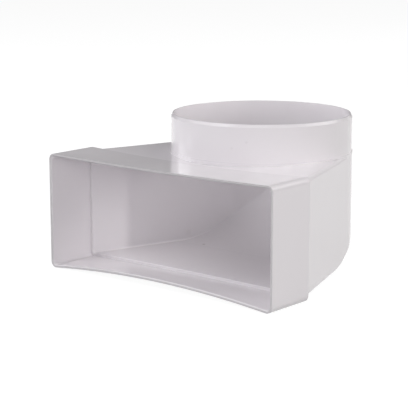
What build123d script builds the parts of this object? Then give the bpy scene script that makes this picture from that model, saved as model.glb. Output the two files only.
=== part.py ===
from build123d import *
import os

# Duct transition elbow: a flat rectangular socket that turns the air up into a round spigot.
# One moulding, standing on the socket's underside, mouth towards -Y and spigot pointing up.

# The flat duct that the socket takes, and the round pipe that slides over the spigot
duct_width = 220.0
duct_height = 90.0
pipe_diameter = 150.0

# The moulding
wall = 2.3
duct_clearance = 0.2
pipe_clearance = 0.25
pipe_shoulder = 0.55
shoulder_rise = 0.6
socket_depth = 44.3
stop_thickness = 2.3
spigot_setback = 135.0
spigot_height = 31.3
heel_radius = 88.5
heel_overrun = 1.7

# Rounding of corners and edges
socket_corner_radius = 5.0
body_edge_radius = 3.0
crease_radius = 1.5

# How far the long walls have warped inwards at mid-width
floor_warp_mouth = 6.5
floor_warp_stop = 1.0
roof_warp_mouth = 1.3
roof_warp_stop = 2.8

# How far a hollow runs past the face that it opens
overlap = 1.0

# Sizes that follow
step = wall + duct_clearance
socket_width = duct_width + 2 * step
socket_height = duct_height + 2 * step
spigot_radius = pipe_diameter / 2 - pipe_clearance
back_radius = spigot_radius + pipe_shoulder
length = spigot_setback + back_radius
mouth_y = -length / 2
stop_y = mouth_y + socket_depth
band_end_y = stop_y + stop_thickness
spigot_y = mouth_y + spigot_setback
heel_start_y = length / 2 + heel_overrun - heel_radius
floor_z = step
roof_z = floor_z + duct_height
spigot_top_z = roof_z + spigot_height

# Broken edges: the mouth, the stop, the band's rear, the spigot's lip and its bore
mouth_bevel = 0.4 * wall
stop_bevel = 0.25 * wall
band_bevel = 0.4 * step
lip_drop = wall
lip_width = 0.6 * wall
bore_bevel = 0.15 * wall


# What is left of an outer rounding on the inner side of a wall
def inset_radius(radius, inset):
    return max(radius - inset, crease_radius)


# A floor or roof line across the elbow, straight or warped into an arc
def long_wall(start, end, warp):
    if warp == 0:
        return Line(start, end)
    return ThreePointArc(start, (0, start[1] + warp), end)


# A rectangular section across the elbow, with warped floor and roof and rounded corners
def warped_section(y, half_width, low, high, floor_warp, roof_warp, corner_radius):
    with BuildSketch(Plane.XZ.offset(-y)) as section:
        with BuildLine():
            Line((half_width, low), (half_width, high))
            long_wall((half_width, high), (-half_width, high), -roof_warp)
            Line((-half_width, high), (-half_width, low))
            long_wall((-half_width, low), (half_width, low), floor_warp)
        make_face()
        fillet(section.vertices(), corner_radius)
    return section.sketch


# The socket's section, inset from its outside, with a warp that changes evenly from mouth to stop
def socket_section(y, inset):
    depth = (y - mouth_y) / socket_depth
    return warped_section(
        y,
        socket_width / 2 - inset,
        inset,
        socket_height - inset,
        floor_warp_mouth + depth * (floor_warp_stop - floor_warp_mouth),
        roof_warp_mouth + depth * (roof_warp_stop - roof_warp_mouth),
        inset_radius(socket_corner_radius, inset),
    )


# The section that the body starts with at the stop, inset from its outside
def body_section(y, inset):
    return warped_section(
        y,
        duct_width / 2 - inset,
        floor_z + inset,
        roof_z - inset,
        floor_warp_stop,
        roof_warp_stop,
        inset_radius(body_edge_radius, inset),
    )


# A straight length between two sections
def straight_form(start, end):
    with BuildPart() as form:
        loft([start, end], ruled=True)
    return form.part


# The box that tapers onto its round back and heel, and the spigot on it: outside or air passage
def passage_form(inset, top_z):
    low = floor_z + inset
    high = roof_z - inset
    half_width = duct_width / 2 - inset
    radius = back_radius - inset
    heel = heel_radius - inset
    edge_radius = inset_radius(body_edge_radius, inset)
    root_z = high - max(roof_warp_stop, edge_radius) - overlap
    shoulder_z = high + shoulder_rise

    # Plan: straight sides from the stop, tangent to the round back
    with BuildSketch() as plan:
        with BuildLine():
            circle = CenterArc((0, spigot_y), radius, 0, 360, mode=Mode.PRIVATE)
            side = ConstrainedLines(
                circle,
                (half_width, stop_y),
                selector=lambda lines: lines.sort_by(Axis.Y)[-1],
            )
            touch = side.vertices().sort_by(Axis.Y)[-1]
            ThreePointArc((touch.X, touch.Y), (0, spigot_y + radius), (-touch.X, touch.Y))
            Polyline((-touch.X, touch.Y), (-half_width, stop_y), (half_width, stop_y))
        make_face()
    flat_y = min(heel_start_y, touch.Y)

    with BuildPart() as form:
        # Rear half: the side profile with its rounded heel, kept within the plan
        with BuildSketch(Plane.YZ):
            with BuildLine():
                arc = CenterArc((heel_start_y, low + heel), heel, -90, 90)
                Polyline(arc @ 1, (heel_start_y + heel, high + heel), (flat_y, high + heel))
                Polyline((flat_y, high + heel), (flat_y, low), arc @ 0)
            make_face()
            with Locations((flat_y, low)):
                Rectangle(length, high - low, align=(Align.MIN, Align.MIN), mode=Mode.INTERSECT)
        extrude(amount=half_width + radius, both=True)
        extrude(plan.sketch, amount=high, mode=Mode.INTERSECT)
        uprights = form.faces().filter_by(lambda face: abs(face.normal_at().Z) < 0.01)
        sides = uprights.sort_by(Axis.Y)[1:]
        fillet(sides.edges().filter_by(lambda edge: abs(edge.tangent_at(0.5).Z) < 0.9), edge_radius)

        # Front half: from the warped section at the stop to the flat front of the rear half
        loft([body_section(stop_y, inset), form.faces().sort_by(Axis.Y)[0]], ruled=True)

        # Shoulder that the pipe's end rests on, rooted below the warped roof, and the spigot
        with BuildSketch(Plane.XY.offset(root_z)):
            with Locations((0, spigot_y)):
                Circle(radius)
        extrude(amount=shoulder_z - root_z)
        with BuildSketch(Plane.XY.offset(high)):
            with Locations((0, spigot_y)):
                Circle(spigot_radius - inset)
        extrude(amount=top_z - high)
    return form.part


with BuildPart() as elbow:
    # The socket's band with its bevelled rear edge, and the body
    band_rear = socket_section(band_end_y - band_bevel, 0)
    add(straight_form(socket_section(mouth_y, 0), band_rear))
    add(straight_form(band_rear, socket_section(band_end_y, band_bevel)))
    add(passage_form(0, spigot_top_z))

    # The socket's hollow, with a 45 degree bevel at the mouth that leads the duct in
    mouth = socket_section(mouth_y - overlap, wall - mouth_bevel - overlap)
    throat = socket_section(mouth_y + mouth_bevel, wall)
    add(straight_form(mouth, throat), mode=Mode.SUBTRACT)
    add(straight_form(throat, socket_section(stop_y, wall)), mode=Mode.SUBTRACT)

    # The air passage, with the stop's edge broken at 45 degrees
    add(passage_form(wall, spigot_top_z + overlap), mode=Mode.SUBTRACT)
    stop = body_section(stop_y - overlap, wall - stop_bevel - overlap)
    passage = body_section(stop_y + stop_bevel + overlap, wall + overlap)
    add(straight_form(stop, passage), mode=Mode.SUBTRACT)

    # The spigot's lip, sloped for the pipe to slide on, and the edge of its bore
    rim = elbow.faces().sort_by(Axis.Z)[-1]
    chamfer(rim.outer_wire().edges(), lip_width, lip_drop, reference=rim)
    rim = elbow.faces().sort_by(Axis.Z)[-1]
    chamfer(rim.inner_wires()[0].edges(), bore_bevel)

# The warp lifts the underside a little, so the elbow is set down on its lowest corners
elbow_body = elbow.part.moved(Location((0, 0, -elbow.part.bounding_box().min.Z)))
elbow_body.label = "elbow_body"

os.makedirs("parts", exist_ok=True)
export_step(elbow_body, "parts/elbow_body.step")
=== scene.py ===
import math

import bpy
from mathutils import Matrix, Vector


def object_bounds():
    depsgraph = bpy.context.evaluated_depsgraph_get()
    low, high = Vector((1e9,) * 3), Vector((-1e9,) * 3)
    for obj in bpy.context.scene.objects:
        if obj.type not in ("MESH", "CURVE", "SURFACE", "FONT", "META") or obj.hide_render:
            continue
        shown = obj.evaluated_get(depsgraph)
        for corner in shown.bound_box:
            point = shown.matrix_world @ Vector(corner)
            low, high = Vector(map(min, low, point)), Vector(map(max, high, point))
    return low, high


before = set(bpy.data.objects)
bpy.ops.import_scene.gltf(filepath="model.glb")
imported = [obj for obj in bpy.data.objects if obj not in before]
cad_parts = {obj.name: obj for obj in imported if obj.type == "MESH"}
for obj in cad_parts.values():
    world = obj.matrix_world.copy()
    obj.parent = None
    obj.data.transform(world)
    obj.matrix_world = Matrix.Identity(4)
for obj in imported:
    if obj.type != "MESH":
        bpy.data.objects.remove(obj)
cadLow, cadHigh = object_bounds()
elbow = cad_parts["elbow_body"]
print("frame loaded:", sorted(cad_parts))


# small helpers for node trees
def addNode(tree, kind, place, **settings):
    node = tree.nodes.new(kind)
    node.location = place
    for name, value in settings.items():
        setattr(node, name, value)
    return node


def startTree(owner):
    owner.use_nodes = True
    owner.node_tree.nodes.clear()
    return owner.node_tree


def addNoise(tree, coords, place, scale, detail):
    noise = addNode(tree, "ShaderNodeTexNoise", place)
    noise.inputs["Scale"].default_value = scale
    noise.inputs["Detail"].default_value = detail
    tree.links.new(coords, noise.inputs["Vector"])
    return noise.outputs["Fac"]


def addBump(tree, height, place, distance):
    bump = addNode(tree, "ShaderNodeBump", place)
    bump.inputs["Strength"].default_value = 1
    bump.inputs["Distance"].default_value = distance
    tree.links.new(height, bump.inputs["Height"])
    return bump


# a colour laid over what is there, by a share from 0 to 1
def addLayer(tree, under, share, place, colour):
    layer = addNode(tree, "ShaderNodeMix", place, data_type="RGBA")
    layer.inputs["B"].default_value = colour
    tree.links.new(share, layer.inputs["Factor"])
    tree.links.new(under, layer.inputs["A"])
    return layer.outputs["Result"]


def grey(value):
    return (value, value, value, 1)


# the moulded plastic of the elbow, all patterns in metres on Object coordinates
plastic = {
    "colour": (0.885, 0.852, 0.878, 1),
    "shadeColour": (0.866, 0.834, 0.86, 1),
    "cloudScale": 14,  # cloudy flow marks, a few centimetres wide
    "cloudDetail": 3,
    "roughness": (0.12, 0.17),
    "hazeScale": 40,  # patches of handling haze
    "hazeDetail": 4,
    "hazeRange": (0.3, 0.7),  # noise values that get the lowest and the highest roughness
    "waveScale": 22,  # slow waviness of the moulded walls
    "waveDetail": 1,
    "waveHeight": 0.00006,
    "skinScale": 1400,  # fine skin of the mould
    "skinDetail": 2,
    "skinHeight": 0.000002,
    "ior": 1.5,
    "rimShadeColour": (0.74, 0.71, 0.73, 1),  # painted shade: the rim face of the socket's mouth made darker, standing in for the weak light from the front
    "rimShadePlace": (-0.1046, -0.1050),  # where along Y it starts, and where it is full
    "markColour": (0.55, 0.52, 0.53, 1),
    "markCore": 0.3,  # share of a mark's radius that has its full strength
    # place, radius and strength of the small marks seen on the part
    "marks": [
        ((-0.0549, 0.0215, 0.0048), 0.002, 0.8),
        ((0.0353, -0.036, 0.1099), 0.0014, 0.16),
        ((0.0243, -0.0408, 0.1047), 0.0014, 0.14),
        ((-0.0776, 0.0281, 0.0107), 0.004, 0.1),
    ],
}


def addMarks(tree, coords, look):
    total = None
    for index, (place, radius, strength) in enumerate(look["marks"]):
        row = -420 - 170 * index
        distance = addNode(tree, "ShaderNodeVectorMath", (-900, row), operation="DISTANCE")
        tree.links.new(coords, distance.inputs[0])
        distance.inputs[1].default_value = place
        spot = addNode(tree, "ShaderNodeMapRange", (-720, row), interpolation_type="SMOOTHSTEP")
        spot.inputs["From Min"].default_value = radius
        spot.inputs["From Max"].default_value = radius * look["markCore"]
        spot.inputs["To Max"].default_value = strength
        tree.links.new(distance.outputs["Value"], spot.inputs["Value"])
        if total is None:
            total = spot.outputs["Result"]
            continue
        both = addNode(tree, "ShaderNodeMath", (-540, row), operation="MAXIMUM")
        tree.links.new(total, both.inputs[0])
        tree.links.new(spot.outputs["Result"], both.inputs[1])
        total = both.outputs[0]
    return total


def makePlastic(look):
    material = bpy.data.materials.new("mouldedPlastic")
    tree = startTree(material)
    links = tree.links
    coords = addNode(tree, "ShaderNodeTexCoord", (-1300, 0)).outputs["Object"]

    # base colour: faint clouds, then the marks
    clouds = addNoise(tree, coords, (-900, 200), look["cloudScale"], look["cloudDetail"])
    tint = addNode(tree, "ShaderNodeMix", (-500, 200), data_type="RGBA")
    tint.inputs["A"].default_value = look["shadeColour"]
    tint.inputs["B"].default_value = look["colour"]
    links.new(clouds, tint.inputs["Factor"])
    marks = addMarks(tree, coords, look)
    marked = addLayer(tree, tint.outputs["Result"], marks, (-260, 120), look["markColour"])

    # painted shade on the mouth's rim: its face darker where little light from the front reaches it
    axes = addNode(tree, "ShaderNodeSeparateXYZ", (-900, 420))
    links.new(coords, axes.inputs["Vector"])
    rimShade = addNode(tree, "ShaderNodeMapRange", (-500, 420))
    rimShade.inputs["From Min"].default_value, rimShade.inputs["From Max"].default_value = look["rimShadePlace"]
    links.new(axes.outputs["Y"], rimShade.inputs["Value"])
    rimShaded = addLayer(tree, marked, rimShade.outputs["Result"], (-80, 200), look["rimShadeColour"])

    # gloss: patches of haze
    haze = addNoise(tree, coords, (-900, -60), look["hazeScale"], look["hazeDetail"])
    gloss = addNode(tree, "ShaderNodeMapRange", (-500, -60))
    gloss.inputs["From Min"].default_value, gloss.inputs["From Max"].default_value = look["hazeRange"]
    gloss.inputs["To Min"].default_value, gloss.inputs["To Max"].default_value = look["roughness"]
    links.new(haze, gloss.inputs["Value"])

    # surface: slow waves of the walls, with the fine skin on top
    waves = addNoise(tree, coords, (-500, -320), look["waveScale"], look["waveDetail"])
    skin = addNoise(tree, coords, (-500, -560), look["skinScale"], look["skinDetail"])
    waveBump = addBump(tree, waves, (-260, -320), look["waveHeight"])
    skinBump = addBump(tree, skin, (-80, -480), look["skinHeight"])
    links.new(waveBump.outputs["Normal"], skinBump.inputs["Normal"])

    shader = addNode(tree, "ShaderNodeBsdfPrincipled", (120, 0))
    shader.inputs["IOR"].default_value = look["ior"]
    links.new(rimShaded, shader.inputs["Base Color"])
    links.new(gloss.outputs["Result"], shader.inputs["Roughness"])
    links.new(skinBump.outputs["Normal"], shader.inputs["Normal"])
    output = addNode(tree, "ShaderNodeOutputMaterial", (420, 0))
    links.new(shader.outputs["BSDF"], output.inputs["Surface"])
    return material


elbow.data.materials.clear()
elbow.data.materials.append(makePlastic(plastic))
print("plastic on the elbow")


# pale floor: white to the camera with the elbow's faint shadow, plain and diffuse to other light
floorLook = {
    "size": 60,
    "bounce": 0.3,  # what it sends back to the elbow
    "white": 0.94,  # what the camera sees of it, before the light that falls on it
    "shadowShare": 0.16,  # how much of that light the camera sees
}


def makeFloor(look):
    bpy.ops.object.select_all(action="DESELECT")
    bpy.ops.mesh.primitive_plane_add(size=look["size"], location=(0, 0, 0))
    floor = bpy.context.object
    floor.name = "floor"
    material = bpy.data.materials.new("paleFloor")
    tree = startTree(material)
    links = tree.links

    # the camera, mirror images and what shows through see the white, all else the plain floor
    path = addNode(tree, "ShaderNodeLightPath", (-700, 300))
    seen = addNode(tree, "ShaderNodeMath", (-480, 260), operation="ADD")
    seenToo = addNode(tree, "ShaderNodeMath", (-300, 220), operation="ADD", use_clamp=True)
    links.new(path.outputs["Is Camera Ray"], seen.inputs[0])
    links.new(path.outputs["Is Glossy Ray"], seen.inputs[1])
    links.new(seen.outputs[0], seenToo.inputs[0])
    links.new(path.outputs["Is Transmission Ray"], seenToo.inputs[1])

    bounce = addNode(tree, "ShaderNodeBsdfDiffuse", (-300, 0))
    bounce.inputs["Color"].default_value = grey(look["bounce"])
    glow = addNode(tree, "ShaderNodeEmission", (-480, -140))
    glow.inputs["Strength"].default_value = look["white"]
    shadow = addNode(tree, "ShaderNodeBsdfDiffuse", (-480, -280))
    shadow.inputs["Color"].default_value = grey(look["shadowShare"])
    white = addNode(tree, "ShaderNodeAddShader", (-300, -180))
    links.new(glow.outputs[0], white.inputs[0])
    links.new(shadow.outputs[0], white.inputs[1])
    mix = addNode(tree, "ShaderNodeMixShader", (-60, 60))
    links.new(seenToo.outputs[0], mix.inputs["Fac"])
    links.new(bounce.outputs[0], mix.inputs[1])
    links.new(white.outputs[0], mix.inputs[2])
    output = addNode(tree, "ShaderNodeOutputMaterial", (160, 60))
    links.new(mix.outputs[0], output.inputs["Surface"])
    floor.data.materials.append(material)


makeFloor(floorLook)
print("floor laid")


# soft studio light: large lamps round about, and a narrow one on the right that looks into the socket
# azimuth is turned from +X, in degrees, and each lamp is aimed at the middle of the elbow
room = {"colour": (0.98, 0.98, 1.0, 1), "strength": 0.02}
lampReach = 2.5  # metres from the middle of the elbow
coolWhite = (0.985, 0.985, 1.0)
warmWhite = (1.0, 0.985, 0.97)
lamps = {
    "frontLeft": {"azimuth": -135, "elevation": 45, "size": (2.0, 2.0), "power": 21, "colour": coolWhite},
    "leftStrip": {"azimuth": -118, "elevation": 40, "size": (0.8, 1.6), "power": 8, "colour": coolWhite},
    "frontTop": {"azimuth": -80, "elevation": 50, "size": (2.0, 1.6), "power": 10, "colour": coolWhite},
    "cameraTop": {"azimuth": -45, "elevation": 45, "size": (1.6, 1.6), "power": 1.5, "colour": coolWhite},
    "cameraFill": {"azimuth": -45, "elevation": 8, "size": (2.0, 0.6), "power": 10, "colour": coolWhite},
    "keyRight": {"azimuth": -21.5, "elevation": 8, "size": (0.08, 0.7), "power": 8.5, "colour": warmWhite},
    "sideRight": {"azimuth": 6, "elevation": 10, "size": (1.2, 0.7), "power": 9.5, "colour": warmWhite},
    "backRight": {"azimuth": 45, "elevation": 45, "size": (1.8, 1.8), "power": 23.5, "colour": warmWhite},
    "backTop": {"azimuth": 100, "elevation": 60, "size": (1.4, 1.4), "power": 2.5, "colour": coolWhite},
    "backSoft": {"azimuth": 98, "elevation": 14, "size": (1.0, 0.8), "power": 2, "colour": coolWhite},
    "sideLeft": {"azimuth": -165, "elevation": 12, "size": (1.4, 0.8), "power": 13, "colour": coolWhite},
}


def makeRoom(look):
    world = bpy.data.worlds.new("room")
    bpy.context.scene.world = world
    tree = startTree(world)
    glow = addNode(tree, "ShaderNodeBackground", (0, 0))
    glow.inputs["Color"].default_value = look["colour"]
    glow.inputs["Strength"].default_value = look["strength"]
    output = addNode(tree, "ShaderNodeOutputWorld", (220, 0))
    tree.links.new(glow.outputs[0], output.inputs["Surface"])


def makeLamp(name, look, target):
    bpy.ops.object.select_all(action="DESELECT")
    azimuth = math.radians(look["azimuth"])
    elevation = math.radians(look["elevation"])
    level = math.cos(elevation)
    outward = Vector((level * math.cos(azimuth), level * math.sin(azimuth), math.sin(elevation)))
    bpy.ops.object.light_add(type="AREA", location=target + lampReach * outward)
    lamp = bpy.context.object
    lamp.name = name
    lamp.data.shape = "RECTANGLE"
    lamp.data.size, lamp.data.size_y = look["size"]
    lamp.data.energy = look["power"]
    lamp.data.color = look["colour"]
    lamp.rotation_euler = (-outward).to_track_quat("-Z", "Y").to_euler()


makeRoom(room)
middle = (cadLow + cadHigh) / 2
for name, look in lamps.items():
    makeLamp(name, look, middle)
print("lamps set:", list(lamps))


# camera of the photograph: to the right of the mouth, a little above
cameraLook = {
    "place": (0.69897, -0.897185, 0.28482),
    "tiltDown": 0.203,  # radians below level
    "turn": 0.687,  # radians from looking along +Y
    "lens": 124.85,
    "sensor": 36,
}


def makeCamera(look):
    turn = (math.pi / 2 - look["tiltDown"], 0, look["turn"])
    bpy.ops.object.camera_add(location=look["place"], rotation=turn)
    camera = bpy.context.object
    camera.data.sensor_fit = "HORIZONTAL"
    camera.data.sensor_width = look["sensor"]
    camera.data.lens = look["lens"]
    bpy.context.scene.camera = camera


makeCamera(cameraLook)
bpy.context.scene.view_settings.view_transform = "Standard"
print("camera placed")
